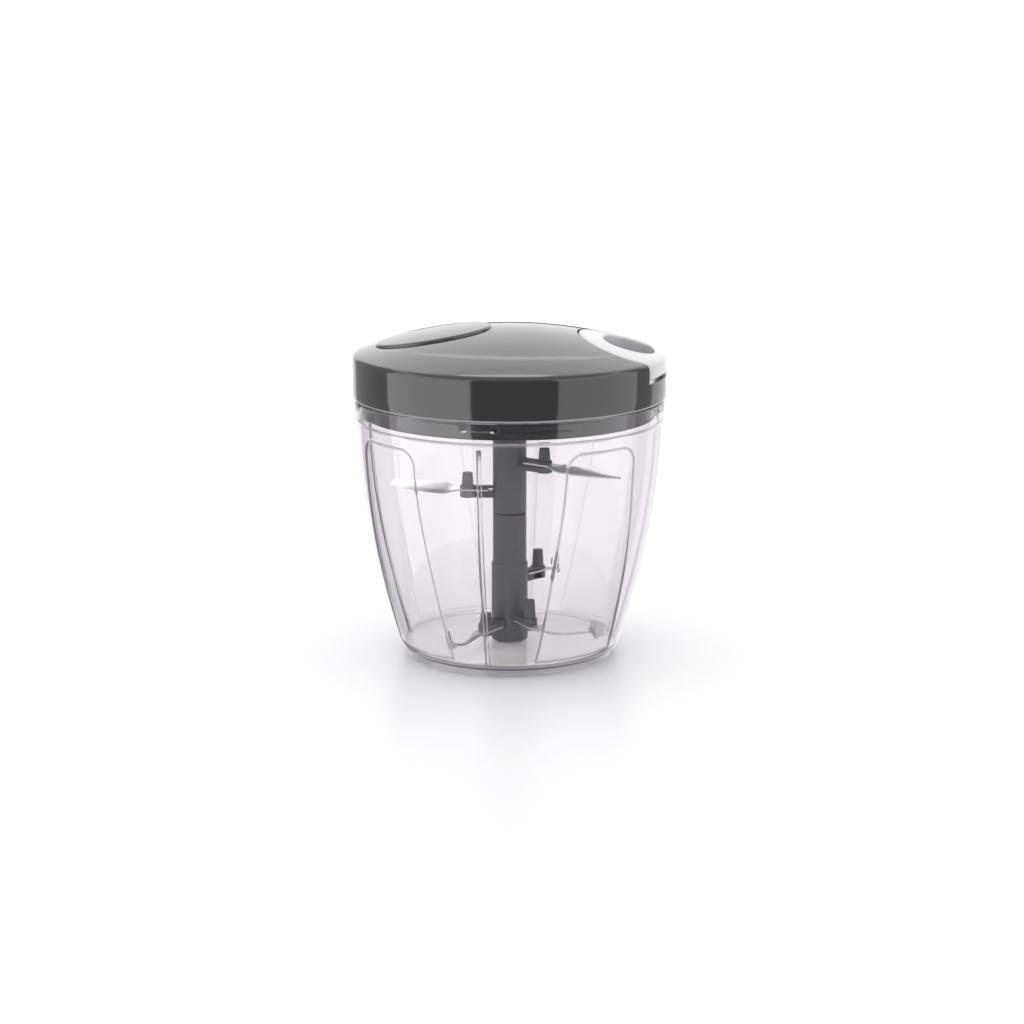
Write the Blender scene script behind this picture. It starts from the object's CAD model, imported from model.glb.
# %% [markdown]
# A pull cord food chopper, dressed for a studio picture.
#
# The frame brings the chopper's solids, in place and jointed. This lesson gives
# them the shapes and finishes that a camera sees: a clear bowl with ribs and
# sunk panels, a glossy lid, a white pull handle, and a satin column with
# stamped knives. Each cell makes one piece or one finish.

# %% Load the frame
import math

import bmesh
import bpy
from mathutils import Matrix, Vector


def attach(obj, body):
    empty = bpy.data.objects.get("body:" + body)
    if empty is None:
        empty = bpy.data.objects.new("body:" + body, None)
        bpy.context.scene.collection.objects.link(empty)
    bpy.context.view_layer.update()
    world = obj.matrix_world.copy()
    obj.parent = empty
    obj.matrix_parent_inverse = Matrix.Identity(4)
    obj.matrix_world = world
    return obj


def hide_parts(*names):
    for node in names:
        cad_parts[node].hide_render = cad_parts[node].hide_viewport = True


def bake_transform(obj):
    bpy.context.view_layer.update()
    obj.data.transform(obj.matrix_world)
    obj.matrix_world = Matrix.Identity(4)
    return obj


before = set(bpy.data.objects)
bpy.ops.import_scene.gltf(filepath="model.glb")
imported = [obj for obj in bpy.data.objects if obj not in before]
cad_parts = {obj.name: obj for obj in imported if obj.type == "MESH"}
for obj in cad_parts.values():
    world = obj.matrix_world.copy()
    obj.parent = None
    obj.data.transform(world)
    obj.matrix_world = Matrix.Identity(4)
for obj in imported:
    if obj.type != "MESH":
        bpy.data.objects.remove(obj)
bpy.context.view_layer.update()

MM = 0.001

# %% [markdown]
# Colours are written as they are read off a screen, as sRGB hex, while shaders
# count in linear light. One function turns one into the other. A noise's scale
# is the number of its cells in a metre, so a second one works it out from a
# cell's size in mm. A third one adds a node, sets its sockets and links the
# ones that are given a socket.

# %% Colour and node helpers


def linear(hex_colour):
    """Linear RGBA of an sRGB hex colour."""
    channels = []
    for at in (1, 3, 5):
        share = int(hex_colour[at:at + 2], 16) / 255
        channels.append(share / 12.92 if share <= 0.04045 else ((share + 0.055) / 1.055) ** 2.4)
    return (*channels, 1)


def cells(size):
    """Scale of a noise whose cells have a size in mm."""
    return 1 / (size * MM)


def add_node(tree, kind, inputs=None, **settings):
    """Add a shader node, with its settings, constants and links."""
    made = tree.nodes.new("ShaderNode" + kind)
    for name, value in settings.items():
        setattr(made, name, value)
    for name, value in (inputs or {}).items():
        if isinstance(value, bpy.types.NodeSocket):
            tree.links.new(value, made.inputs[name])
        else:
            made.inputs[name].default_value = value
    return made


def start_finish(name, **sockets):
    """A new material with its Principled shader's constants set."""
    material = bpy.data.materials.new(name)
    material.use_nodes = True
    tree = material.node_tree
    shader = tree.nodes["Principled BSDF"]
    for socket, value in sockets.items():
        shader.inputs[socket.replace("_", " ")].default_value = value
    return tree, shader, add_node(tree, "TexCoord").outputs["Object"]


print("mid grey in linear light", round(linear("#808080")[0], 3))

# %% [markdown]
# The photograph was taken from a little above, with a long lens. The camera's
# place, tilt and lens were worked out from the ellipses of the lid and the
# foot, so a point of the model falls on the same pixel as in the photograph.

# %% Camera
lens = bpy.data.cameras.new("studio_camera")
lens.sensor_width = 36
lens.lens = 87.19
lens.clip_end = 60
camera = bpy.data.objects.new("studio_camera", lens)
camera.location = (1.018 * MM, -1045.89 * MM, 297.49 * MM)
camera.rotation_euler = (math.radians(90 - 12.727), 0, 0)
bpy.context.scene.collection.objects.link(camera)
bpy.context.scene.camera = camera
bpy.context.scene.view_settings.view_transform = "Standard"
print("camera at", [round(v, 3) for v in camera.location])

# %% [markdown]
# The chopper stands on a smooth pale sheet that runs out of the picture on all
# sides. The sheet has a faint gloss, so the foot of the bowl mirrors in it.
# Its own reflection in the upright lid band would hide that of the soft boxes,
# so glossy rays don't see it. Its faint clouds are a third of a metre wide.

# %% Floor
tree, shader, place = start_finish("pale_studio_sheet", Roughness=0.3, IOR=1.25)
grain = add_node(tree, "TexNoise", {"Vector": place, "Scale": cells(333), "Detail": 2.0})
tint = add_node(tree, "ValToRGB", {"Fac": grain.outputs["Fac"]})
tint.color_ramp.elements[0].color = linear("#f7f7f9")
tint.color_ramp.elements[1].color = linear("#fafafb")
tree.links.new(tint.outputs["Color"], shader.inputs["Base Color"])
FLOOR_FINISH = bpy.data.materials["pale_studio_sheet"]

sheet = bmesh.new()
bmesh.ops.create_grid(sheet, x_segments=8, y_segments=8, size=30)
mesh = bpy.data.meshes.new("floor")
sheet.to_mesh(mesh)
sheet.free()
mesh.materials.append(FLOOR_FINISH)
floor = bpy.data.objects.new("floor", mesh)
bpy.context.scene.collection.objects.link(floor)
floor.visible_glossy = False
print("floor", mesh.name, "60 m square")

# %% [markdown]
# The light is plain and soft: a pale sky all round and a broad lamp above. What
# gives a glossy lid its life is what it mirrors. A photographer stands tall
# lit screens left and right of the camera and leaves a dark gap between them,
# and the lid's band shows them as upright fields with sharp edges. Here the
# screens are parts of one ring wall that only glossy rays see. Each part
# covers a span of azimuth, counted from the camera's side. Dark cards that
# only light through glass sees give the bowl's thick edges their dark lines.
#
# A sky and one broad lamp leave the bowl's floor, the two long knives and the
# lid's plug ring darker than a real studio does. Each gets soft lamps that are
# linked to it alone. No camera ray and no ray through the clear wall meets
# these lamps, or they would light the sheet under the bowl as well.

# %% Lights and screens
world = bpy.data.worlds.new("studio_world")
world.use_nodes = True
bpy.context.scene.world = world
world.node_tree.nodes["Background"].inputs["Color"].default_value = linear("#ffffff")
world.node_tree.nodes["Background"].inputs["Strength"].default_value = 1.0

overhead = bpy.data.lights.new("overhead", "SUN")
overhead.energy = 0.5
overhead.angle = math.radians(80)
lamp = bpy.data.objects.new("overhead", overhead)
lamp.rotation_euler = (math.radians(-8), math.radians(-14), 0)
bpy.context.scene.collection.objects.link(lamp)
lamp.visible_glossy = False


def linked_lamp(name, size, strength, place, aim):
    """A soft square lamp that lights only the pieces in its collection."""
    light = bpy.data.lights.new(name, "AREA")
    light.size = size
    light.energy = strength * math.pi * size ** 2
    made = bpy.data.objects.new(name, light)
    made.location = place
    made.rotation_euler = (Vector(aim) - Vector(place)).to_track_quat("-Z", "Y").to_euler()
    bpy.context.scene.collection.objects.link(made)
    made.visible_camera = False
    made.visible_transmission = False
    lit = bpy.data.collections.new(name)
    made.light_linking.receiver_collection = lit
    made.light_linking.blocker_collection = lit
    return lit


floor_lamp = linked_lamp("floor_lamp", 0.1, 6.8, (0, 0, 0.104), (0, 0, 0))
knife_lamp = linked_lamp("knife_lamp", 2.6, 2.4, (0, 1.36, 1.54), (0, 0, 0.078))
plug_lamps = [
    linked_lamp("plug_lamp_left", 2.6, 4, (-1.79, -0.89, 0.15), (0, 0, 0.105)),
    linked_lamp("plug_lamp_right", 2.6, 2.5, (1.88, -0.68, 0.15), (0, 0, 0.105))]

# The set in metres, and the glow of its parts
SCREEN_RADIUS = 24
SCREEN_LOW = -14
BACK_TOP = math.radians(41)
BACK_HEIGHT = SCREEN_RADIUS * math.tan(BACK_TOP)
STRIP_HEIGHT = SCREEN_RADIUS * math.tan(math.radians(44.4))
UNDER_CEILING = 0.995 * SCREEN_RADIUS
HEAD_LEAN = 3.5
BACK_GLOW = 1.6
TOP_GLOW = 0.9
CARD_GLOW = 0.5
BOW_RADIUS = SCREEN_RADIUS * 0.95
BOW_GLOW = 3.5
LID_TOP = 0.14
# name, start and end in degrees, foot in m, glow at floor level and at the top
SCREENS = (
    ("gap", -28, 35, -80, 0.06, 0.06),
    ("right_screen", 35, 105, SCREEN_LOW, 1.75, 2.2),
    ("right_edge", 105, 127, SCREEN_LOW, 0.45, 0.6),
    ("back", 127, 208, 0, 1.4, 1.75),
    ("right_back_foot", 127, 176, SCREEN_LOW, 1.3, 1.3),
    ("dark_back_foot", 176, 184, SCREEN_LOW, 0.15, 0.15),
    ("left_back_foot", 184, 208, SCREEN_LOW, 1.3, 1.3),
    ("left_edge", 208, 261, SCREEN_LOW, 0.5, 0.6),
    ("left_screen", 261, 332, SCREEN_LOW, 2.75, 2.2),
)
# The curved light that the dome mirrors, as azimuth and rise in degrees
LIGHT_BOW = (
    (-8.9, 11.3), (-9.5, 15.8), (-9.9, 20.4), (-9.9, 24.0), (-9.4, 27.2), (-8.8, 29.1),
    (-8.2, 30.4), (-7.5, 31.6), (-6.7, 32.7), (-5.8, 33.7), (-4.9, 34.5), (-3.9, 35.1),
    (-2.9, 35.6), (-1.9, 36.0), (-0.8, 36.3), (0.3, 36.4), (1.4, 36.3), (2.5, 36.1),
    (3.6, 35.8), (4.6, 35.3), (5.6, 34.7), (6.6, 34.0), (7.4, 33.2), (8.2, 32.3),
    (9.0, 31.2), (9.6, 30.0), (10.1, 28.5), (10.4, 26.2), (10.5, 23.5))
CARD_TINT = "#c6b6e2"


def light_panel(name, low, high, colour):
    """A panel's glow, from floor level to the top of the wall."""
    material = bpy.data.materials.new(name)
    material.use_nodes = True
    tree = material.node_tree
    tree.nodes.remove(tree.nodes["Principled BSDF"])
    place = add_node(tree, "TexCoord").outputs["Object"]
    height = add_node(tree, "SeparateXYZ", {"Vector": place}).outputs["Z"]
    strength = add_node(tree, "MapRange", {
        "Value": height, "From Max": BACK_HEIGHT, "To Min": low, "To Max": high})
    glow = add_node(tree, "Emission", {
        "Color": linear(colour), "Strength": strength.outputs["Result"]})
    tree.links.new(glow.outputs["Emission"], tree.nodes["Material Output"].inputs["Surface"])
    return material


def stand_panel(bm, name, low, high, through_glass=False):
    """Put a panel on the set, seen by one kind of ray only."""
    mesh = bpy.data.meshes.new(name)
    bm.to_mesh(mesh)
    bm.free()
    colour = CARD_TINT if through_glass else "#ffffff"
    mesh.materials.append(light_panel(name, low, high, colour))
    panel = bpy.data.objects.new(name, mesh)
    bpy.context.scene.collection.objects.link(panel)
    panel.visible_camera = False
    panel.visible_diffuse = False
    panel.visible_glossy = not through_glass
    panel.visible_transmission = through_glass
    panel.visible_shadow = False


def wall_span(start, end, low, high, lean=0):
    """A strip of the ring wall, spun between two azimuths."""
    bm = bmesh.new()
    foot = bm.verts.new((0, -SCREEN_RADIUS, low))
    head = bm.verts.new((0, lean - SCREEN_RADIUS, high))
    bm.edges.new((foot, head))
    bmesh.ops.rotate(bm, verts=bm.verts, matrix=Matrix.Rotation(math.radians(start), 3, "Z"))
    bmesh.ops.spin(
        bm, geom=bm.verts[:] + bm.edges[:], axis=(0, 0, 1),
        angle=math.radians(end - start), steps=24)
    return bm


for name, start, end, foot, low, high in SCREENS:
    head = 0 if "back_foot" in name else BACK_HEIGHT
    stand_panel(wall_span(start, end, foot, head), name, low, high)
for name, start, end, glow in (
        ("right_back_top", 90, 172, BACK_GLOW),
        ("light_strip", 172, 190, 2 * BACK_GLOW),
        ("left_back_top", 190, 270, BACK_GLOW)):
    foot = wall_span(start, end, BACK_HEIGHT, STRIP_HEIGHT)
    stand_panel(foot, name, BACK_GLOW, BACK_GLOW)
    head = wall_span(start, end, STRIP_HEIGHT, UNDER_CEILING, HEAD_LEAN)
    stand_panel(head, name + "_head", glow, glow)
ceiling = bmesh.new()
bmesh.ops.create_circle(ceiling, cap_ends=True, segments=96, radius=SCREEN_RADIUS * 1.02)
bmesh.ops.translate(ceiling, verts=ceiling.verts, vec=(0, 0, SCREEN_RADIUS))
stand_panel(ceiling, "ceiling", TOP_GLOW, TOP_GLOW)
stand_panel(wall_span(-90, 90, BACK_HEIGHT, SCREEN_RADIUS), "front_top", TOP_GLOW, TOP_GLOW)
for name, start, end in (("left_card", 225, 300), ("right_card", 60, 135)):
    card = wall_span(start, end, 0, BACK_HEIGHT / 2)
    stand_panel(card, name, CARD_GLOW, CARD_GLOW, through_glass=True)

bow = bmesh.new()
rows = []
for lift in (-0.5, 0.5):
    row = []
    for turn, rise in LIGHT_BOW:
        turn, rise = math.radians(turn), math.radians(rise + lift)
        row.append(bow.verts.new((
            BOW_RADIUS * math.sin(turn) * math.cos(rise),
            BOW_RADIUS * math.cos(turn) * math.cos(rise),
            BOW_RADIUS * math.sin(rise) + LID_TOP)))
    rows.append([bow.edges.new(pair) for pair in zip(row, row[1:])])
bmesh.ops.bridge_loops(bow, edges=rows[0] + rows[1])
stand_panel(bow, "light_bow", BOW_GLOW, BOW_GLOW)
print("screens", len(SCREENS), "wall", round(BACK_HEIGHT - SCREEN_LOW, 2), "m high")

# %% [markdown]
# Most of the pieces are turned or drawn from an outline. A turned piece starts
# as a half section of points and edges. The corners that are round on the
# real piece are bevelled while they are still points, because that is quick
# and can't fail, and then the section is spun round the axis.
#
# Pieces that change their section along the way, such as the handle and the
# knives, are rings of points with a skin between them. The bridge operator
# joins rings that lie in one plane point to the wrong point, so the skin's
# faces are made in the order of the points.

# %% Shaping helpers
TURN_STEPS = 192
WELD = 0.002 * MM
print("a turned piece has", TURN_STEPS, "steps")


def section_of(points):
    """A half section in a bmesh: rows of radius, height and corner round."""
    bm = bmesh.new()
    verts = [bm.verts.new((radius * MM, 0, height * MM)) for radius, height, _ in points]
    for first, second in zip(verts, verts[1:]):
        bm.edges.new((first, second))
    for soft in sorted({soft for _, _, soft in points if soft}):
        corners = [vert for vert, row in zip(verts, points) if row[2] == soft]
        bmesh.ops.bevel(
            bm, geom=corners, affect="VERTICES", offset=soft * MM, offset_type="OFFSET",
            segments=4, profile=0.5, material=-1)
    return bm


def turned(points, steps=TURN_STEPS, closed=False):
    """Spin a half section round Z. A closed one is a ring's whole section."""
    if closed:
        points = points + [(points[0][0], points[0][1], 0)]
    bm = section_of(points)
    bmesh.ops.spin(
        bm, geom=bm.verts[:] + bm.edges[:], axis=(0, 0, 1), angle=math.tau,
        steps=steps, use_merge=True)
    bmesh.ops.remove_doubles(bm, verts=bm.verts, dist=WELD)
    bmesh.ops.recalc_face_normals(bm, faces=bm.faces)
    return bm


def bare_object(bm, name):
    """A bmesh as a plain object, for a boolean or for the last step."""
    mesh = bpy.data.meshes.new(name)
    bm.to_mesh(mesh)
    bm.free()
    made = bpy.data.objects.new(name, mesh)
    bpy.context.scene.collection.objects.link(made)
    return made


def carve(bm, tool, operation="DIFFERENCE"):
    """Boolean of one bmesh with another one. Both are used up."""
    target = bare_object(bm, "carved")
    cutter = bare_object(tool, "carver")
    change = target.modifiers.new("Carve", "BOOLEAN")
    change.operation = operation
    change.solver = "EXACT"
    change.object = cutter
    graph = bpy.context.evaluated_depsgraph_get()
    shape = bpy.data.meshes.new_from_object(target.evaluated_get(graph))
    result = bmesh.new()
    result.from_mesh(shape)
    for leftover in (target, cutter):
        bpy.data.objects.remove(leftover)
    return result


def bridged(loops, closed=False):
    """Skin a row of matching point loops, with flat ends unless closed."""
    bm = bmesh.new()
    rings = [[bm.verts.new(point) for point in points] for points in loops]
    pairs = list(zip(rings, rings[1:]))
    if closed:
        pairs.append((rings[-1], rings[0]))
    for first, second in pairs:
        for at in range(len(first)):
            bm.faces.new((first[at - 1], first[at], second[at], second[at - 1]))
    if not closed:
        bm.faces.new(rings[0])
        bm.faces.new(rings[-1])
    bmesh.ops.recalc_face_normals(bm, faces=bm.faces)
    return bm


def finish_piece(bm, name, material, body, *nodes, crease=40):
    """Weld and shade a piece, and put it on its body for the nodes it replaces."""
    bmesh.ops.remove_doubles(bm, verts=bm.verts, dist=WELD)
    bmesh.ops.recalc_face_normals(bm, faces=bm.faces)
    if bm.calc_volume(signed=True) < 0:
        bmesh.ops.reverse_faces(bm, faces=bm.faces)
    piece = bare_object(bm, name)
    piece.data.shade_smooth()
    piece.data.set_sharp_from_angle(angle=math.radians(crease))
    piece.data.materials.append(material)
    if body:
        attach(piece, body)
    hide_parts(*nodes)
    size = [round((max(along) - min(along)) / MM, 1) for along in zip(*piece.bound_box)]
    print(name, len(piece.data.polygons), "faces", size, "mm")
    return piece


# %% [markdown]
# The bowl is moulded in clear styrene (SAN), stiff and glassy. Its index of
# refraction is near 1.57, but the picture's walls mirror and bend the light
# less than that, so 1.42 was matched to them. A faint lavender tint in the
# volume shows where the light runs a long way inside the wall. Washing has left
# faint scuffed patches, about a finger wide, that change the gloss a little.
#
# Real edges of ribs, panels and foot show as lavender lines, which plain
# refraction in so thin a wall doesn't give. The mesh keeps three numbers for
# them on each point: one for edges that light meets from the air, one for
# edges that it meets from inside the wall, and one for the line at the foot.
# They deepen the tint there and take away some of the clearness.

# %% Clear styrene
tree, shader, place = start_finish("clear_styrene_moulded", IOR=1.42)
absorb = add_node(tree, "VolumeAbsorption", {"Color": linear("#a48eac"), "Density": 55.0})
tree.links.new(absorb.outputs["Volume"], tree.nodes["Material Output"].inputs["Volume"])
haze = add_node(tree, "TexNoise", {"Vector": place, "Scale": cells(11.11), "Detail": 3.0})
gloss = add_node(tree, "MapRange", {
    "Value": haze.outputs["Fac"], "From Min": 0.35, "From Max": 0.75,
    "To Min": 0.0, "To Max": 0.035})
tree.links.new(gloss.outputs["Result"], shader.inputs["Roughness"])
stain = add_node(tree, "ValToRGB", {"Fac": haze.outputs["Fac"]})
stain.color_ramp.elements[0].color = linear("#f9f8f8")
stain.color_ramp.elements[1].color = linear("#f6f5f6")
within = add_node(tree, "NewGeometry").outputs["Backfacing"]
edge = add_node(tree, "MixRGB", {
    "Fac": within,
    "Color1": add_node(tree, "Attribute", attribute_name="edge_met_from_air").outputs["Color"],
    "Color2": add_node(tree, "Attribute", attribute_name="edge_met_from_inside").outputs["Color"],
}).outputs["Color"]
body_colour = add_node(tree, "MixRGB", {
    "Fac": edge, "Color1": stain.outputs["Color"], "Color2": linear("#a49aa8")})
foot_line = add_node(tree, "Attribute", attribute_name="foot_line").outputs["Fac"]
foot_colour = add_node(tree, "MixRGB", {
    "Fac": foot_line, "Color1": body_colour.outputs["Color"], "Color2": linear("#8c7f9a")})
tree.links.new(foot_colour.outputs["Color"], shader.inputs["Base Color"])
height = add_node(tree, "SeparateXYZ", {"Vector": place}).outputs["Z"]
foot_clear = add_node(tree, "MapRange", {
    "Value": height, "From Min": 4.7 * MM, "From Max": 6.5 * MM, "To Min": 0.6, "To Max": 1.0})
edge_clear = add_node(tree, "MapRange", {"Value": edge, "To Min": 1.0, "To Max": 0.5})
clearness = add_node(tree, "Math", {
    0: foot_clear.outputs["Result"], 1: edge_clear.outputs["Result"]}, operation="MULTIPLY")
tree.links.new(clearness.outputs["Value"], shader.inputs["Transmission Weight"])
CLEAR = bpy.data.materials["clear_styrene_moulded"]
print("clear styrene IOR", shader.inputs["IOR"].default_value)

# %% [markdown]
# The wall curves in towards the foot, faster and faster. Its outer face is one
# formula of height, and the inner face keeps 2 mm from it. The half section
# runs from the bore for the pin, over the rim, to the middle of the underside.

# %% Bowl section
BASE_RADIUS = 47.0
BASE_HEIGHT = 4.1
WALL_TOP_RADIUS = 65.2
WALL_TOP = 103.2
WALL_BULGE = 1.8
WALL = 2.0
FLOOR = 4.6
RIM = 112.3


def wall_radius(height):
    """Outer radius of the wall in mm."""
    share = min(1, max(0, (height - BASE_HEIGHT) / (WALL_TOP - BASE_HEIGHT)))
    return BASE_RADIUS + (WALL_TOP_RADIUS - BASE_RADIUS) * (1 - (1 - share) ** WALL_BULGE)


def climb(*stops):
    """Heights from stop to stop, each with the step that leads to the next."""
    heights = []
    for (low, step), (high, _) in zip(stops, stops[1:]):
        count = max(1, round((high - low) / step))
        heights += [low + (high - low) * at / count for at in range(count)]
    return heights + [stops[-1][0]]


inner_heights = climb((8.2, 3), (98, 0.5), (101.5, 1), (102.4, 1))
outer_heights = climb((4.9, 0.5), (9, 3), (88, 0.7), (100, 1), (102.4, 1))
bowl_section = [(0, 3.2, 0), (2.8, 3.2, 0), (2.8, 9.8, 0.3), (4.9, 9.8, 0.4), (5.1, FLOOR, 0.4)]
bowl_section += [(radius, FLOOR, 0) for radius in (12, 20, 28, 36, 40)]
bowl_section += [(wall_radius(7.6) - WALL + 0.1, FLOOR, 2.6)]
bowl_section += [(wall_radius(height) - WALL, height, 0) for height in inner_heights]
bowl_section += [
    (63.2, 103.3, 0.3), (64.3, 104.2, 0.3), (64.3, 108.2, 0), (64.3, 108.7, 0),
    (64.3, 109.6, 0), (64.3, 110.6, 0), (64.3, 111.1, 0),
    (64.3, RIM, 0.4), (66.3, RIM, 0.5), (66.3, 104.2, 0.35), (65.2, 103.3, 0.25)]
bowl_section += [(wall_radius(height), height, 0) for height in reversed(outer_heights)]
bowl_section += [
    (wall_radius(BASE_HEIGHT), BASE_HEIGHT, 0.5), (46.0, 3.2, 0.4), (44.2, 3.2, 0.3),
    (44.2, 0, 0.5), (42.0, 0, 0.5), (42.0, 2.4, 0.4), (30, 2.4, 0), (15, 2.4, 0), (0, 2.4, 0)]
print("bowl section", len(bowl_section), "points")

# %% [markdown]
# Four ribs stand inside the wall, and between them four arched panels are sunk
# into its outside. Both are moved out of the spun wall: a formula says how far
# a point lies inside a rib or a panel, and the point moves along its radius.
# The spun steps are first gathered where ribs and panel edges lie, so that
# their flanks get enough faces. The rim's four lugs, which hold the lid, are
# moved inwards in the same way.

# %% Bowl
BOWL_STEPS = 528
SIDE_ANGLE = math.pi / 2
RIB_TURN = math.radians(-101.3)
RIB_DEPTH = 1.4
RIB_TOP = 100.7
RIB_TAPER = 5.0
PANEL_TURN = math.radians(48.3)
PANEL_DEPTH = 0.4
PANEL_EDGE = 1.7
PANEL_FOOT = 6.5
PANEL_TOP = 99.2
PANEL_CORNER = 8
LUG_DEPTH = 1.7
# How dark the edge line is at the middle of a flank, and seen from its far side
EDGE_RISE = 6
RIB_FROM_AIR = 0.2
PANEL_FROM_INSIDE = 0.12
COLLAR_LINE = 0.7


def soft_step(value, start, end):
    """0 before start, 1 after end, and a smooth change between."""
    share = min(1, max(0, (value - start) / (end - start)))
    return share * share * (3 - 2 * share)


def step_density(turn):
    """How close the spun steps lie at an angle from a rib, in degrees."""
    turn = turn % 90
    rib = min(turn, 90 - turn)
    edge = abs(abs(turn - math.degrees(PANEL_TURN)) - 16.8)
    return 1 + 5.0 * (1 - soft_step(rib, 1.6, 3.4)) + 2.0 * (1 - soft_step(edge, 7.6, 9.4))


def gathered_turns(count):
    """Angles of the steps of one side, gathered by their density."""
    fine = 2000
    total = [0.0]
    for at in range(fine):
        total.append(total[-1] + step_density(90 * (at + 0.5) / fine))
    turns = []
    at = 0
    for step in range(count):
        goal = total[-1] * step / count
        while total[at + 1] < goal:
            at += 1
        share = (goal - total[at]) / (total[at + 1] - total[at])
        turns.append(math.radians(90 * (at + share) / fine))
    return turns


def rib_share(across, height):
    """How much of a rib's depth a point of the inner wall takes."""
    top = min(1, max(0, (RIB_TOP - height) / RIB_TAPER))
    return (1 - soft_step(abs(across), 0.5, 1.05)) * math.sqrt(top * (2 - top))


def panel_share(across, height):
    """How much of a panel's depth a point of the outer wall takes."""
    half = 20.2 - 1.8 * soft_step(height, 40, 91)
    spring = PANEL_TOP - PANEL_CORNER
    inside = min(half - abs(across), height - PANEL_FOOT, PANEL_TOP - height)
    if height > spring and abs(across) > half - PANEL_CORNER:
        inside = PANEL_CORNER - math.hypot(
            abs(across) - half + PANEL_CORNER, height - spring)
    return soft_step(inside, 0, PANEL_EDGE)


side_steps = BOWL_STEPS // 4
side_turns = gathered_turns(side_steps)
bowl = turned(bowl_section, BOWL_STEPS)
from_air = bowl.verts.layers.float.new("edge_met_from_air")
from_inside = bowl.verts.layers.float.new("edge_met_from_inside")
foot_line = bowl.verts.layers.float.new("foot_line")
for vert in bowl.verts:
    x, y, height = (v / MM for v in vert.co)
    radius = math.hypot(x, y)
    if radius < 0.5:
        continue
    step = round(math.atan2(y, x) / math.tau * BOWL_STEPS) % BOWL_STEPS
    side, part = divmod(step, side_steps)
    from_rib = side_turns[part]
    turn = RIB_TURN + side * SIDE_ANGLE + from_rib
    from_panel = from_rib - PANEL_TURN
    if from_rib > SIDE_ANGLE / 2:
        from_rib -= SIDE_ANGLE
    inner_wall = radius < wall_radius(height) - WALL / 2
    if inner_wall and radius > 41 and height > FLOOR - 0.1 and height < 102:
        share = rib_share(radius * math.sin(from_rib), height)
        radius -= RIB_DEPTH * share
        vert[from_inside] = min(1, EDGE_RISE * share * (1 - share))
        vert[from_air] = RIB_FROM_AIR * vert[from_inside]
    if not inner_wall and 5 < height < 102:
        share = panel_share(radius * math.sin(from_panel), height)
        radius -= PANEL_DEPTH * share
        vert[from_air] = min(1, EDGE_RISE * share * (1 - share))
        vert[from_inside] = PANEL_FROM_INSIDE * vert[from_air]
    if 108.5 < height < 110.8 and radius < 64.5:
        radius -= LUG_DEPTH * (1 - soft_step(abs(radius * math.sin(from_rib)), 6.9, 7.6))
    if radius > 43 and 3 < height < 4.5:
        vert[foot_line] = 1
    if not inner_wall and 103 < height < 104.3:
        vert[from_air] = COLLAR_LINE
    vert.co = (radius * math.cos(turn) * MM, radius * math.sin(turn) * MM, height * MM)
clear_bowl = finish_piece(bowl, "clear_bowl", CLEAR, "bowl", "bowl", crease=50)
floor_lamp.objects.link(clear_bowl)

# %% [markdown]
# Most finishes here follow one recipe. A noise pattern moves the colour between
# two tones, and the gloss between two roughnesses, as rubbing and the mould
# do. A relief, from the same pattern or from a finer one, gives the skin its
# grain. The size of a pattern's cells is given in mm. The sizes were set by eye
# on the render, so they are guesses at the real ones and not measured.
#
# The lid is moulded in dark grey ABS from a polished mould, so it mirrors the
# screens sharply. Hands rub it in patches of 25 mm. An orange peel with waves
# of 2.4 mm from the moulding keeps the mirror image from being perfect. The
# very lowest edge of its band is rubbed paler.

# %% Grey ABS
RUBBED_FROM = 113.65
RUBBED_TO = 113.35


def patterned_finish(name, tones, gloss, cell, detail=3.0, relief=None, stretch=None, **sockets):
    """A finish from one noise. A relief is strength, depth and own cell or None."""
    tree, shader, place = start_finish(name, **sockets)
    if stretch:
        place = add_node(tree, "Mapping", {"Vector": place, "Scale": stretch}).outputs["Vector"]
    pattern = add_node(tree, "TexNoise", {
        "Vector": place, "Scale": cells(cell), "Detail": detail})
    tone = add_node(tree, "ValToRGB", {"Fac": pattern.outputs["Fac"]})
    for stop, colour in zip(tone.color_ramp.elements, tones):
        stop.color = linear(colour)
    tree.links.new(tone.outputs["Color"], shader.inputs["Base Color"])
    rough = add_node(tree, "MapRange", {
        "Value": pattern.outputs["Fac"], "To Min": gloss[0], "To Max": gloss[1]})
    tree.links.new(rough.outputs["Result"], shader.inputs["Roughness"])
    if relief:
        strength, depth, own_cell = relief
        skin = pattern
        if own_cell:
            skin = add_node(tree, "TexNoise", {
                "Vector": place, "Scale": cells(own_cell), "Detail": 2.0})
        bump = add_node(tree, "Bump", {
            "Strength": strength, "Distance": depth * MM, "Height": skin.outputs["Fac"]})
        tree.links.new(bump.outputs["Normal"], shader.inputs["Normal"])
    print(name, "roughness", gloss, "cells", cell, "mm")
    return bpy.data.materials[name]


def grey_abs(name, tones, gloss, peel, **sockets):
    """Grey ABS with rubbed patches of 25 mm and an orange peel of 2.4 mm."""
    return patterned_finish(
        name, tones, gloss, 25, 4.0, relief=(peel, 0.02, 2.381), IOR=1.53, **sockets)


LID_GREY = grey_abs("grey_abs_polished", ("#343435", "#39393a"), (0.05, 0.12), 0.25)
INLAY_GREY = grey_abs("pale_grey_abs_polished", ("#4b4b4d", "#525254"), (0.1, 0.18), 0.2)
BASE_GREY = grey_abs(
    "grey_abs_moulded", ("#101011", "#141415"), (0.12, 0.2), 0.08, Specular_IOR_Level=0.3)

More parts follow.
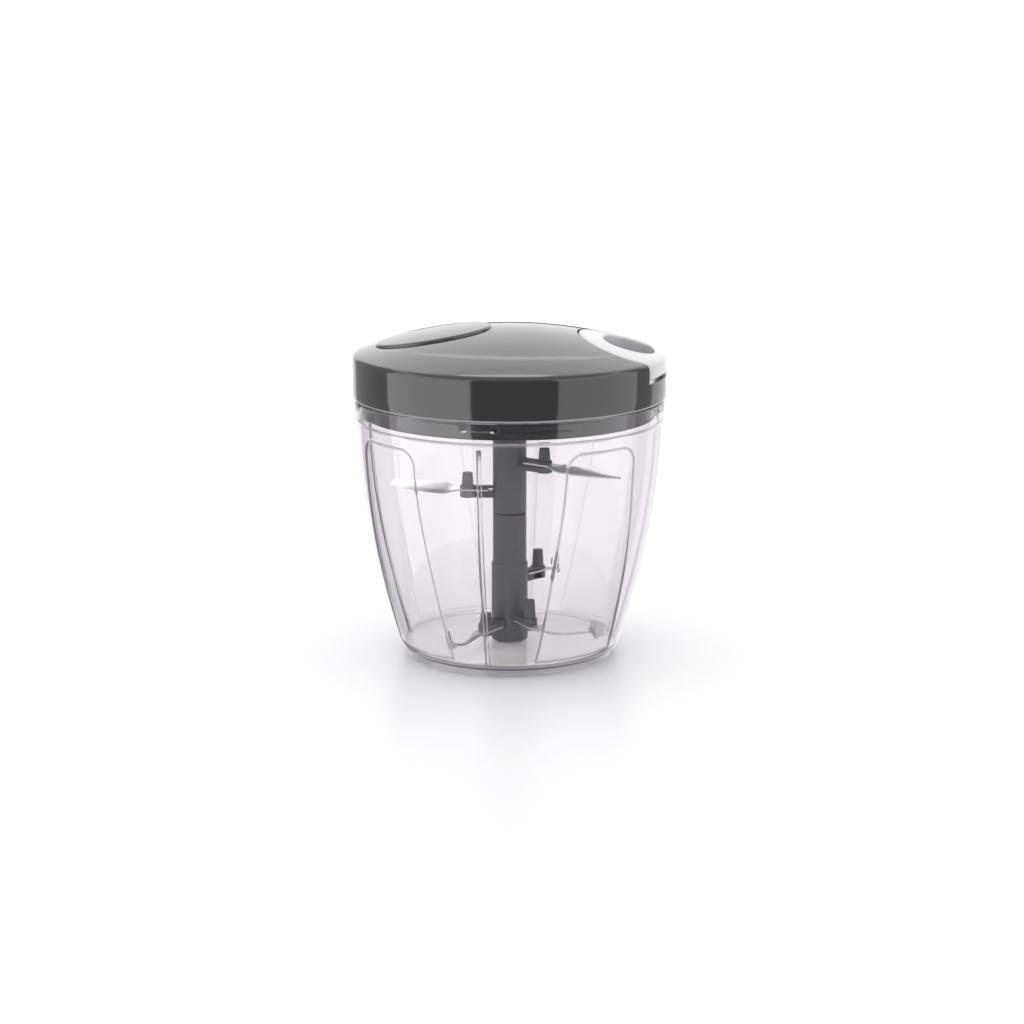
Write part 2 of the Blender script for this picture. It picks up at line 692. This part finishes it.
tree = LID_GREY.node_tree
shader = tree.nodes["Principled BSDF"]
place = add_node(tree, "TexCoord").outputs["Object"]
height = add_node(tree, "SeparateXYZ", {"Vector": place}).outputs["Z"]
rubbed = add_node(tree, "MapRange", {
    "Value": height, "From Min": RUBBED_FROM * MM, "From Max": RUBBED_TO * MM})
paler = add_node(tree, "MixRGB", {
    "Fac": rubbed.outputs["Result"],
    "Color1": shader.inputs["Base Color"].links[0].from_socket,
    "Color2": linear("#a2a2a3")})
tree.links.new(paler.outputs["Color"], shader.inputs["Base Color"])
print("grey ABS finishes", 3)

# %% [markdown]
# The lid's cover is a shallow dome on an upright band. The dome's height falls
# off with the radius by a power a little under 2, so it is flat in the middle.
# A small round joins it to the band. The handle's pocket is a half oval that
# runs out over the rim, and it is cut from the turned shell with a boolean,
# because its upright wall crosses the dome at every angle.

# %% Lid cover
LID_RADIUS = 67.0
LID_FOOT = 112.7
LID_WALL = 2.0
DOME_RADIUS = 66.0
DOME_EDGE = 131.1
DOME_RISE = 11.1
DOME_POWER = 1.93
DOME_FILLET = 2.6
# The handle's half oval: its middle and its length along X, and half its width
POCKET_MIDDLE = 52.5
POCKET_LENGTH = 23.3
POCKET_HALF = 33.2
POCKET_FLOOR = 122.8
POCKET_GAP = 0.5
TUB_WALL = 1.6


def dome_height(radius):
    """Height of the lid's outer face in mm."""
    return DOME_EDGE + DOME_RISE * (1 - min(1, radius / DOME_RADIUS) ** DOME_POWER)


def edge_round(fillet, wall_line):
    """Arc of (radius, height) that joins the dome to the upright band."""
    middle = wall_line - fillet
    slope = DOME_RISE * DOME_POWER * (middle / DOME_RADIUS) ** (DOME_POWER - 1) / DOME_RADIUS
    tilt = math.atan(slope)
    touch = middle + fillet * math.sin(tilt)
    centre = dome_height(touch) - fillet * math.cos(tilt)
    arc = []
    for step in range(9):
        swing = tilt + (math.pi / 2 - tilt) * step / 8
        arc.append((middle + fillet * math.sin(swing), centre + fillet * math.cos(swing), 0))
    return arc


def dome_rows(inset, rings):
    """Half section of the dome and its rounded edge, set in by a wall."""
    arc = edge_round(DOME_FILLET - inset / 2, LID_RADIUS - inset)
    arc = [(radius, height - inset / 2, 0) for radius, height, _ in arc]
    radii = [arc[0][0] * ring / rings for ring in range(rings)]
    return [(radius, dome_height(radius) - inset, 0) for radius in radii] + arc


def pocket_plan(grow):
    """Plan of the handle's pocket in mm, out over the rim."""
    length, half, past_rim = POCKET_LENGTH + grow, POCKET_HALF + grow, LID_RADIUS + 10
    points = [(past_rim, half)]
    for step in range(97):
        turn = math.pi / 2 + math.pi * step / 96
        points.append((POCKET_MIDDLE + length * math.cos(turn), half * math.sin(turn)))
    return points + [(past_rim, -half)]


def drawn_up(points, low, high, soft=0):
    """A plan drawn up between two heights, with its floor edge rounded."""
    bm = bmesh.new()
    face = bm.faces.new([bm.verts.new((x * MM, y * MM, low * MM)) for x, y in points])
    raised = bmesh.ops.extrude_face_region(bm, geom=[face])
    top = [item for item in raised["geom"] if isinstance(item, bmesh.types.BMVert)]
    bmesh.ops.translate(bm, verts=top, vec=(0, 0, (high - low) * MM))
    if soft:
        level = (low + 0.01) * MM
        bmesh.ops.bevel(
            bm, geom=[edge for edge in bm.edges if all(v.co.z < level for v in edge.verts)],
            affect="EDGES", offset=soft * MM, segments=3, profile=0.5, material=-1)
    bmesh.ops.recalc_face_normals(bm, faces=bm.faces)
    return bm


def lid_room():
    """The space under the middle of the lid's wall, as a solid."""
    middle = LID_RADIUS - LID_WALL / 2
    return turned(dome_rows(LID_WALL / 2, 34) + [(middle, 107, 0), (0, 107, 0)])


outer = dome_rows(0, 34) + [(LID_RADIUS, 118, 0), (LID_RADIUS, LID_FOOT, 1.0)]
inner = dome_rows(LID_WALL, 16) + [(LID_RADIUS - LID_WALL, LID_FOOT, 0.3)]
cover = turned(outer + inner[::-1])
dome_top = DOME_EDGE + DOME_RISE
tub = drawn_up(pocket_plan(POCKET_GAP + TUB_WALL), POCKET_FLOOR - TUB_WALL, dome_top)
cover = carve(cover, carve(tub, lid_room(), "INTERSECT"), "UNION")
cover = carve(cover, drawn_up(pocket_plan(POCKET_GAP), POCKET_FLOOR, dome_top + 10, 0.5))
print("lid cover", len(cover.faces), "faces after the pocket")

# %% [markdown]
# Inside, the cover carries the round arbor with the axle's bore, four bosses
# for the screws, the bore for the cord's guide, and outside the shallow oval
# recess for the inlay. The same half sections and plans make them, and the
# bars that cut the bores lie where the frame's axle, screws and cord lie.

# %% Inside of the lid cover
SCREW_TURNS = [math.radians(turn) for turn in (68, 140, -140, -68)]
SCREW_CIRCLE = 50
ROOM_FOOT = 109.3
CORD_HEIGHT = 128.4
# The inlay's middle, and half its length and width
INLAY_MIDDLE = -32.5
INLAY_LENGTH = 24.8
INLAY_WIDTH = 20.4


def placed(bm, turn=0.0, shift=(0, 0, 0), axis="Z"):
    """Turn a shape about an axis, in radians, and then shift it in mm."""
    bmesh.ops.rotate(bm, verts=bm.verts, matrix=Matrix.Rotation(turn, 3, axis))
    bmesh.ops.translate(bm, verts=bm.verts, vec=[along * MM for along in shift])
    return bm


def post_at(radius, low, high, x=0.0, y=0.0, steps=48):
    """An upright round bar."""
    bm = turned([(0, high, 0), (radius, high, 0), (radius, low, 0), (0, low, 0)], steps)
    return placed(bm, shift=(x, y, 0))


def cord_bore(radius, near, far):
    """A bar along the cord's line, which cuts its hole."""
    return placed(post_at(radius, near, far), math.pi / 2, (0, 0, CORD_HEIGHT), "Y")


cover = carve(cover, post_at(4.2, 118.7, dome_height(0) - 1), "UNION")
cover = carve(cover, post_at(2.8, 108, 136.5))
for turn in SCREW_TURNS:
    spot = (SCREW_CIRCLE * math.cos(turn), SCREW_CIRCLE * math.sin(turn))
    boss = carve(post_at(3.8, ROOM_FOOT, 141, *spot), lid_room(), "INTERSECT")
    cover = carve(cover, boss, "UNION")
    cover = carve(cover, post_at(1.8, 100, 118.2, *spot))
cover = carve(cover, cord_bore(2.5, 24, 32))


def oval_plate(grow, low, high, soft, facets=120):
    """An oval plate that follows the dome between two lifts from its face."""
    wide = 1 + grow / INLAY_WIDTH
    rows = [(share * wide, low) for share in (0.02, 0.35, 0.7, 1)]
    for step in range(5):
        swing = math.pi / 2 * step / 4
        share = wide - soft * (1 - math.cos(swing)) / INLAY_WIDTH
        rows.append((share, high - soft + soft * math.sin(swing)))
    rows += [(share * wide, high) for share in (0.9, 0.75, 0.6, 0.45, 0.3, 0.15, 0.02)]
    loops = []
    for share, lift in rows:
        loop = []
        for facet in range(facets):
            turn = math.tau * facet / facets
            x = INLAY_MIDDLE + INLAY_LENGTH * share * math.cos(turn)
            y = INLAY_WIDTH * share * math.sin(turn)
            loop.append((x * MM, y * MM, (dome_height(math.hypot(x, y)) + lift) * MM))
        loops.append(loop)
    return bridged(loops)


cover = carve(cover, oval_plate(0.03, -1.0, 2, 0.01))
finish_piece(cover, "lid_shell", LID_GREY, "lid", "lid_cover", crease=28)
finish_piece(oval_plate(0, -0.9, 1.05, 0.9), "lid_inlay", INLAY_GREY, "lid", "oval_inlay")

# %% [markdown]
# The pull handle is a ring round the finger hole, moulded in white ABS. Seen
# from above it is a half oval that is cut off by the lid's rim. Its top goes on
# with the lid's dome, both of its edges are rounded, and it is hollow below.
# Loops of points round the finger hole are skinned from one to the next. White
# ABS lets a little light in under its skin, which softens its shaded sides, and
# fingers leave patches of about their own width in its gloss.

# %% White ABS and pull handle
WHITE = patterned_finish(
    "white_abs_polished", ("#c5c5c7", "#cbcbcd"), (0.12, 0.22), 16.67,
    IOR=1.53, Subsurface_Weight=0.08, Subsurface_Scale=1.5 * MM)

HANDLE_FOOT = 124.6
HANDLE_FACETS = 180
HANDLE_ROUND = 1.4
HANDLE_WALL = 2
HANDLE_TOP = 3.4
# The finger hole: its middle, half its length and width, and its roundness
HOLE_X = 50.7
HOLE_LENGTH = 10.8
HOLE_WIDTH = 17.2
HOLE_POWER = 2.4


def handle_reach(turn):
    """Distance from the finger hole's middle to the handle's outline."""
    ahead, beside = math.cos(turn), math.sin(turn)
    along = HOLE_X * ahead
    best = -along + math.sqrt(along ** 2 + LID_RADIUS ** 2 - HOLE_X ** 2)
    if abs(beside) > 0.001:
        best = min(best, POCKET_HALF / abs(beside))
    shift = (HOLE_X - POCKET_MIDDLE) / POCKET_LENGTH
    run, rise = ahead / POCKET_LENGTH, beside / POCKET_HALF
    a = run ** 2 + rise ** 2
    b = shift * run
    root = (-b + math.sqrt(b ** 2 - a * (shift ** 2 - 1))) / a
    if HOLE_X + root * ahead < POCKET_MIDDLE:
        best = min(best, root)
    return best


def hole_reach(turn):
    """Distance from the finger hole's middle to its wall."""
    ahead = abs(math.cos(turn)) / HOLE_LENGTH
    beside = abs(math.sin(turn)) / HOLE_WIDTH
    return (ahead ** HOLE_POWER + beside ** HOLE_POWER) ** (-1 / HOLE_POWER)


def lid_top(radius):
    """Height of the lid's outer face, with its rounded edge."""
    arc = edge_round(DOME_FILLET, LID_RADIUS)
    if radius <= arc[0][0]:
        return dome_height(radius)
    reach = min(DOME_FILLET, radius - LID_RADIUS + DOME_FILLET)
    return arc[-1][1] + math.sqrt(max(0, DOME_FILLET ** 2 - reach ** 2))


def ring_loops(rows):
    """Loops round the finger hole. A row is (place, inset, drop, height)."""
    loops = []
    for at, inset, drop, height in rows:
        loop = []
        for facet in range(HANDLE_FACETS):
            turn = math.tau * (facet + 0.5) / HANDLE_FACETS
            outer, inner = handle_reach(turn), hole_reach(turn)
            reach = outer - inset if at == 0 else inner + inset
            if 0 < at < 1:
                reach = (outer - inset) * (1 - at) + (inner + inset) * at
            x, y = HOLE_X + reach * math.cos(turn), reach * math.sin(turn)
            z = height if height else lid_top(math.hypot(x, y)) - drop
            loop.append((x * MM, y * MM, z * MM))
        loops.append(loop)
    return loops


def quarter(place, soft, rising):
    """Rows of a rounded edge, going up from the outline or down the hole."""
    rows = []
    for step in range(7):
        swing = math.pi / 2 * (step if rising else 6 - step) / 6
        rows.append((place, soft - soft * math.cos(swing), soft - soft * math.sin(swing), None))
    return rows


rows = [(0, 0.3, 0, HANDLE_FOOT), (0, 0, 0, HANDLE_FOOT + 0.3)]
rows += quarter(0, HANDLE_ROUND, True)
rows += [(at, HANDLE_ROUND, 0, None) for at in (0.2, 0.4, 0.6, 0.8)]
rows += quarter(1, HANDLE_ROUND, False)
rows += [(1, 0, 0, HANDLE_FOOT + 0.3), (1, 0.3, 0, HANDLE_FOOT)]
rows += [(1, HANDLE_WALL, 0, HANDLE_FOOT), (1, HANDLE_WALL, HANDLE_TOP, None)]
rows += [(0, HANDLE_WALL, HANDLE_TOP, None), (0, HANDLE_WALL, 0, HANDLE_FOOT)]
handle = bridged(ring_loops(rows), closed=True)
handle = carve(handle, cord_bore(1.3, 20, 33))
finish_piece(handle, "handle_grip", WHITE, "handle", "pull_handle")

# %% [markdown]
# The base of the lid closes it from below. Its plug ring reaches into the bowl
# and shows through the clear rim, with four ramps that lock under the rim's
# lugs. The ring is spun whole, and each ramp is spun over its own short span.

# %% Lid base
RAMP_TURN = math.radians(21.5)
RAMP_RADIUS = 63.9
RAMP_HALF = 15
base_section = [
    (60.3, 114.3, 0), (64.7, 114.3, 0.2), (64.7, 112.7, 0.2), (61.2, 112.7, 0), (61.2, 110.8, 0),
    (62.3, 110.8, 0.2), (62.3, 104.9, 0.5), (60.3, 104.9, 0.4), (60.3, 107, 0.4), (11.1, 107, 0.3),
    (11.1, 109, 0.3), (60.3, 109, 0)]
base = turned(base_section, closed=True)
for side in range(4):
    middle = RIB_TURN + side * SIDE_ANGLE + RAMP_TURN
    half = RAMP_HALF / RAMP_RADIUS
    ramp = section_of([
        (61.1, 105.6, 0), (RAMP_RADIUS, 105.6, 0.25), (RAMP_RADIUS, 108.3, 0.25),
        (61.1, 108.3, 0)])
    ramp.edges.new([vert for vert in ramp.verts if vert.co.x < 61.2 * MM])
    placed(ramp, middle - half)
    bmesh.ops.spin(
        ramp, geom=ramp.verts[:] + ramp.edges[:], axis=(0, 0, 1), angle=2 * half, steps=24)
    bmesh.ops.holes_fill(ramp, edges=[edge for edge in ramp.edges if edge.is_boundary])
    bmesh.ops.recalc_face_normals(ramp, faces=ramp.faces)
    base = carve(base, ramp, "UNION")
for turn in SCREW_TURNS:
    spot = (SCREW_CIRCLE * math.cos(turn), SCREW_CIRCLE * math.sin(turn))
    base = carve(base, post_at(1.8, 100, 111, *spot))
plug = finish_piece(base, "lid_plug", BASE_GREY, "lid", "lid_base")
for lamps in plug_lamps:
    lamps.objects.link(plug)

# %% [markdown]
# A soft ring round the plug seals the bowl. It is moulded in silicone, which
# looks milky, since light goes in under its skin, and dull, with specks of dust
# a few mm apart. It is spun from a section that ends in a lip.

# %% Seal
SILICONE = patterned_finish(
    "silicone_moulded", ("#c9c9cb", "#d2d2d4"), (0.4, 0.55), 3.333, 2.0,
    IOR=1.41, Subsurface_Weight=0.3, Subsurface_Scale=1 * MM)
seal = turned([
    (62.3, 112.4, 0.2), (64.0, 111.75, 0.2), (62.3, 111.1, 0.2), (61.5, 111.1, 0),
    (61.5, 112.4, 0)], closed=True)
finish_piece(seal, "lid_seal", SILICONE, "lid", "seal_ring")

# %% [markdown]
# The column that carries the knives is moulded in grey nylon with glass fibre,
# from a spark-eroded mould. That gives it a satin skin with a fine even grain,
# so highlights on it are broad and weak. Such grain is typically about 0.1 mm,
# which is too fine to show, so it is drawn at 0.4 mm.

# %% Satin nylon
SATIN = patterned_finish(
    "satin_grey_nylon_moulded", ("#666768", "#6d6e70"), (0.32, 0.45), 8.333, 4.0,
    relief=(0.3, 0.03, 0.4), IOR=1.53)

# %% [markdown]
# The knives are stamped from stainless strip and ground to an edge on one side.
# Stamped and ground steel has fine parallel scratches, which stretch the
# mirror image across them. A noise that is squeezed along one axis draws them.
# They are typically a few hundredths of a mm wide, and drawn at 0.19 mm to show.
# A full metal would mirror the dark gap between the screens, while the real
# blades look pale and satin from all sides, so only part of it is metal.

# %% Knife steel
KNIFE_STEEL = patterned_finish(
    "knife_steel_ground", ("#d8d9dc", "#e9eaec"), (0.26, 0.4), 0.1852, 4.0,
    relief=(0.2, 0.01, None), stretch=(0.1, 1, 1), Metallic=0.45, Anisotropic=0.3)

# %% [markdown]
# Each arm of the column is a thick and a thin bar with a knife's root between
# them, a round block at their end, and a post on the block. They are small
# bevelled boxes and turned bars, joined to the turned column by booleans.

# %% Column
POST_CIRCLE = 18.2
# Lengths in mm and angles in degrees. The bend starts and ends at shares of the
# blade, the tip is a share of its width, and a hung knife lies under its arm.
KNIFE_COLUMNS = (
    "arm", "height", "reach", "sweep", "bend", "drop", "tilt", "tip", "hung", "post")
KNIVES = [dict(zip(KNIFE_COLUMNS, row)) for row in (
    (-35.5, 84.5, 35.2, 14, (0, 0.5), 2.6, 9, 0, False, 5.4),
    (176, 71.4, 35.5, -22, (0, 0.5), -0.6, -12, 0.5, False, 5.52),
    (47, 32.7, 22.8, 28, (0, 0.5), 2.28, 0, 1, False, 7.32),
    (-62, 15.4, 36.5, 82, (0, 0.45), 1.9, 0, 1, True, 7.8),
    (-124, 12.7, 28.5, -128, (0.48, 0.75), 2.28, 0, 1, True, 4.38))]
# Half the height of a knife's slot, and the arm's thick bar and thin strip
HALF_SLOT = 0.7
BAR, BAR_WIDTH = 2.5, 6.2
STRIP, STRIP_WIDTH = 0.9, 3.4
ARM_START = 3
SLOT_START = 8.9


def on_arm(bm, knife):
    """Turn a shape that lies along X onto a knife's arm."""
    return placed(bm, math.radians(knife["arm"]))


def bar(start, end, width, low, high, soft):
    """A box along X with its long edges rounded."""
    bm = bmesh.new()
    bmesh.ops.create_cube(bm, size=MM)
    bmesh.ops.scale(bm, verts=bm.verts, vec=(end - start, width, high - low))
    placed(bm, shift=((start + end) / 2, 0, (low + high) / 2))
    bmesh.ops.bevel(
        bm, geom=bm.edges[:], affect="EDGES", offset=soft * MM,
        segments=3, profile=0.5, material=-1)
    return bm


def add_arm(column, knife):
    """Join one arm to the column and cut the slot for its knife."""
    height, hung = knife["height"], knife["hung"]
    thick = height + HALF_SLOT if hung else height - HALF_SLOT - BAR
    strip = height - HALF_SLOT - STRIP if hung else height + HALF_SLOT
    low, high = min(thick, strip), max(thick + BAR, strip + STRIP)
    for width, foot, depth, soft in (
            (BAR_WIDTH, thick, BAR, 0.35), (STRIP_WIDTH, strip, STRIP, 0.2)):
        shape = bar(ARM_START, POST_CIRCLE, width, foot, foot + depth, soft)
        column = carve(column, on_arm(shape, knife), "UNION")
    top = high + 0.2
    holder = turned([(0, top, 0), (3.3, top, 0.4), (3.3, low - 0.2, 0.4), (0, low - 0.2, 0)], 48)
    tip = top + knife["post"]
    post = turned([(0, tip, 0), (2.18, tip, 0.4), (2.6, top - 0.4, 0), (0, top - 0.4, 0)], 48)
    for shape in (holder, post):
        placed(shape, shift=(POST_CIRCLE, 0, 0))
        column = carve(column, on_arm(shape, knife), "UNION")
    slot = bar(SLOT_START, 50, 11.2, height - HALF_SLOT, height + HALF_SLOT, 0.01)
    column = carve(column, on_arm(slot, knife))
    stake = post_at(1.3, low + 0.2, high - 0.2, POST_CIRCLE)
    return carve(column, on_arm(stake, knife), "UNION")


def hexagon(flats, low, high):
    """A six-sided bar, given across its flats."""
    return post_at(flats / math.sqrt(3), low, high, steps=6)


lower = turned([
    (0, 61.5, 0), (7.25, 61.5, 0.5), (7.25, 40.1, 0.4), (7.85, 39.5, 0.4),
    (7.85, 5.4, 0.6), (0, 5.4, 0)], 96)
upper = turned([(0, 101.5, 0), (7.25, 101.5, 0.6), (7.25, 61.8, 0.5), (0, 61.8, 0)], 96)
lower = carve(lower, hexagon(8.6, 61, 69), "UNION")
upper = carve(upper, hexagon(8.0, 101, 108.5), "UNION")
for number, knife in enumerate(KNIVES):
    if number < 2:
        upper = add_arm(upper, knife)
    else:
        lower = add_arm(lower, knife)
lower = carve(lower, post_at(5.3, 0, 28.5))
upper = carve(upper, hexagon(9.2, 50, 69.3))
finish_piece(lower, "column_lower", SATIN, "blades", "blade_column_lower", crease=30)
finish_piece(upper, "column_upper", SATIN, "blades", "blade_column_upper", crease=30)

# %% [markdown]
# A knife starts as a flat root in its arm. Past the block it swings round by
# its sweep. The two long upper ones narrow to a point, and the three lower ones
# twist up into a small leaf. Sections across the blade are set out along its
# curved line and skinned.

# %% Knives
KNIFE_THICKNESS = 0.8


def ease(share):
    """0 to 1 along half a cosine wave."""
    return (1 - math.cos(math.pi * min(1, max(0, share)))) / 2


def knife_loop(middle, across, half, grind, edge, twist):
    """One section of a blade: spine, flat back, ground face and edge."""
    thick = KNIFE_THICKNESS / 2
    corners = [
        (-half, thick - 0.1), (-half + 0.1, thick), (half - grind - 0.12, thick),
        (half - grind + 0.12, thick - 0.03), (half, edge), (half, edge - 0.1),
        (half - 0.05, -thick), (-half + 0.1, -thick), (-half, -thick + 0.1)]
    loop = []
    for side, lift in corners:
        sideways = side * math.cos(twist) - lift * math.sin(twist)
        upwards = side * math.sin(twist) + lift * math.cos(twist)
        loop.append((middle + across * sideways + Vector((0, 0, upwards))) * MM)
    return loop


def knife_blade(number, knife, stations=60):
    """Bridge the sections of one knife and cut the hole for its stake."""
    azimuth = math.radians(knife["arm"])
    bend_start, bend_end = knife["bend"]
    radial = Vector((math.cos(azimuth), math.sin(azimuth), 0))
    sideways = Vector((-radial.y, radial.x, 0))
    loops = []
    for distance in (9.2, 21.8):
        middle = radial * distance + Vector((0, 0, knife["height"]))
        loops.append(knife_loop(middle, sideways, 3, 0.3, 0.3, 0))
    run = knife["reach"] - 3.6
    for station in range(1, stations + 1):
        share = station / stations
        swung = min(1, max(0, share - bend_start) / (bend_end - bend_start))
        heading = azimuth + math.radians(knife["sweep"]) * swung
        forward = Vector((math.cos(heading), math.sin(heading), 0))
        across = Vector((-forward.y, forward.x, 0))
        middle = middle + forward * run / stations
        grown = min(1, share * 4)
        grind = 0.3 + 2.3 * grown
        edge = 0.4 - 0.1 - 0.5 * grown
        if number < 2:
            widening = math.sin(math.pi * min(1, share * 5) / 2)
            taper = (1 - max(0, share - 0.35) / 0.65) ** 0.7
            half = max(0.6, (3 + 2.2 * widening) * (knife["tip"] + (1 - knife["tip"]) * taper))
            lift, twist = -knife["drop"] * share, math.radians(knife["tilt"]) * ease(share * 5)
        else:
            fold = ease((share * run - run + 7.2) / 3.6)
            tip = max(0, share * 13 - 11) / 2
            neck = 3 * (1 - 0.64 * ease(share * 3))
            half = neck * (1 - fold) + 4.3 * (1 - 0.4 * tip) * fold
            lift = 0.6 * fold - knife["drop"] * ease(share * 2)
            twist = math.radians(84) * fold
        spot = middle + Vector((0, 0, lift))
        loops.append(knife_loop(spot, across, half, min(grind, half - 0.15), edge, twist))
    blade = bridged(loops)
    hole = post_at(1.6, knife["height"] - 10, knife["height"] + 10, POST_CIRCLE)
    return carve(blade, on_arm(hole, knife))


for number, knife in enumerate(KNIVES):
    blade = finish_piece(
        knife_blade(number, knife), "knife_%d" % (number + 1), KNIFE_STEEL, "blades",
        "blade_%d" % (number + 1), crease=25)
    if number < 2:
        knife_lamp.objects.link(blade)

# %% [markdown]
# The pieces that stay as solids get their real finishes: turned steel for the
# pin, axle and screws, blued spring steel, and natural nylon for the reel and
# the hub. Turning leaves steel with marks about 1 mm long, oil stains a spring
# in spots of 2 mm, and nylon has clouds of 5 mm where it set unevenly.

# %% Finishes of the inner pieces
TURNED_STEEL = patterned_finish(
    "steel_turned", ("#b9babd", "#d0d1d4"), (0.18, 0.3), 1.111,
    relief=(0.4, 0.01, None), Metallic=1.0)
SPRING = patterned_finish(
    "spring_steel_blued", ("#4d5058", "#63666f"), (0.25, 0.4), 2,
    relief=(0.4, 0.01, None), Metallic=1.0)
NATURAL = patterned_finish(
    "natural_nylon_moulded", ("#d9d3c2", "#e2dccb"), (0.35, 0.5), 5,
    relief=(0.4, 0.02, None), IOR=1.53)
FINISHES = (
    (TURNED_STEEL, (
        "pivot_pin", "axle", "cord_guide", "lid_screw_1", "lid_screw_2", "lid_screw_3",
        "lid_screw_4")),
    (SPRING, ("recoil_spring", "clutch_spring")),
    (NATURAL, ("foot_bush", "cord_reel", "spring_cover", "drive_hub")),
    (WHITE, ("handle_base",)),
)
for material, nodes in FINISHES:
    for node in nodes:
        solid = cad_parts[node]
        solid.data.materials.clear()
        solid.data.materials.append(material)
print("finished solids", sum(len(nodes) for _, nodes in FINISHES))

# %% [markdown]
# The pull cord is braided from polyester strands. A tube is set out along the
# cord's route, and its skin swells where a strand lies on top: two families of
# strands run round it, one each way. The same number darkens the gaps between
# the strands, and it is kept on the mesh, so the braid turns with the cord.
# Fibres of 0.02 mm are too fine to show, so their fuzz is drawn at 0.4 mm.

# %% Braided cord
CORD = patterned_finish(
    "polyester_braided_cord", ("#a9a79f", "#e6e4dd"), (0.6, 0.85), 0.4, 2.0,
    relief=(0.4, 0.05, None), IOR=1.5)
tree = CORD.node_tree
strand = add_node(tree, "Attribute", attribute_name="strand").outputs["Fac"]
ramp = tree.nodes["Principled BSDF"].inputs["Base Color"].links[0].from_node
tree.links.new(strand, ramp.inputs["Fac"])

CORD_RADIUS = 0.9
KNOT_RADIUS = 0.62
STRANDS = 4
CORD_FACETS = 16
BRAID_LEAD = 1.05
STRAND_SWELL = 0.05


def braided_tube(points, radius, closed=False):
    """A cord along points in mm, swollen where its strands lie on top."""
    path = [Vector(point) for point in points]
    frame_up = Vector((0, 0, 1))
    loops, tops = [], []
    run = 0.0
    for at, here in enumerate(path):
        before = path[at - 1] if at or closed else here
        after = path[(at + 1) % len(path)] if at + 1 < len(path) or closed else here
        ahead = (after - before).normalized()
        if at:
            run += (here - path[at - 1]).length
        side = frame_up.cross(ahead).normalized()
        frame_up = ahead.cross(side)
        loop = []
        for facet in range(CORD_FACETS):
            turn = math.tau * facet / CORD_FACETS
            lean = run / (radius * BRAID_LEAD) / 2
            top = max(math.cos(STRANDS * (turn - lean)), math.cos(STRANDS * (turn + lean)))
            swell = radius * (1 - STRAND_SWELL + STRAND_SWELL * top)
            loop.append((here + (side * math.cos(turn) + frame_up * math.sin(turn)) * swell) * MM)
            tops.append(top)
        loops.append(loop)
    bm = bridged(loops, closed)
    layer = bm.verts.layers.float.new("strand")
    for vert, top in zip(bm.verts, tops):
        vert[layer] = 0.5 + 0.5 * top
    return bm


def evenly(start, end, step):
    """Points from start to end, about a step apart."""
    count = max(2, round((end - start).length / step))
    return [start.lerp(end, at / count) for at in range(count + 1)]


WINDING_RADIUS = 20.0
CORD_TURNS = 3.75
CORD_PITCH = 2.3
CORNER_X = 24.5
BEND = 1.8
leave = -math.acos(WINDING_RADIUS / CORNER_X)
wound = []
for step in range(1500):
    rest = CORD_TURNS * (1 - step / 1499)
    turn = leave - math.tau * rest
    wound.append((
        WINDING_RADIUS * math.cos(turn), WINDING_RADIUS * math.sin(turn),
        CORD_HEIGHT - CORD_PITCH * rest))
away = Vector((-math.sin(leave), math.cos(leave), 0))
last = Vector(wound[-1])
wound += [tuple(last + away * step * 0.3) for step in range(1, 7)]
finish_piece(braided_tube(wound, CORD_RADIUS), "cord_on_reel", CORD, "reel", "cord_winding")

# %% [markdown]
# The lead runs from the reel to the guide, bends there, and goes out to the
# handle. It belongs to the lid at one end and to the handle at the other, so
# it is blended between the two and stretches when the handle is pulled. It
# ends in a knot inside the handle, which is a trefoil curve with its ends met.

# %% Lead and knot
corner = Vector((CORNER_X, 0, CORD_HEIGHT))
before = corner - (corner - last).normalized() * BEND
after = corner + Vector((BEND, 0, 0))
lead = evenly(last + away * 1.9, before, 0.3)
for step in range(1, 12):
    share = step / 12
    lead.append(before * (1 - share) ** 2 + corner * 2 * share * (1 - share) + after * share ** 2)
lead += evenly(after, Vector((32.3, 0, CORD_HEIGHT)), 0.3)
cord_lead = finish_piece(braided_tube(lead, CORD_RADIUS), "cord_lead", CORD, None, "pull_cord")
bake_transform(cord_lead)

knot = []
for step in range(160):
    turn = math.tau * step / 160
    knot.append((
        33.0 - 0.32 * math.sin(3 * turn),
        0.3 * (math.sin(turn) + 2 * math.sin(2 * turn)),
        CORD_HEIGHT + 0.3 * (math.cos(turn) - 2 * math.cos(2 * turn))))
knot_tube = braided_tube(knot, KNOT_RADIUS, closed=True)
finish_piece(knot_tube, "cord_end_knot", CORD, "handle", "cord_knot")
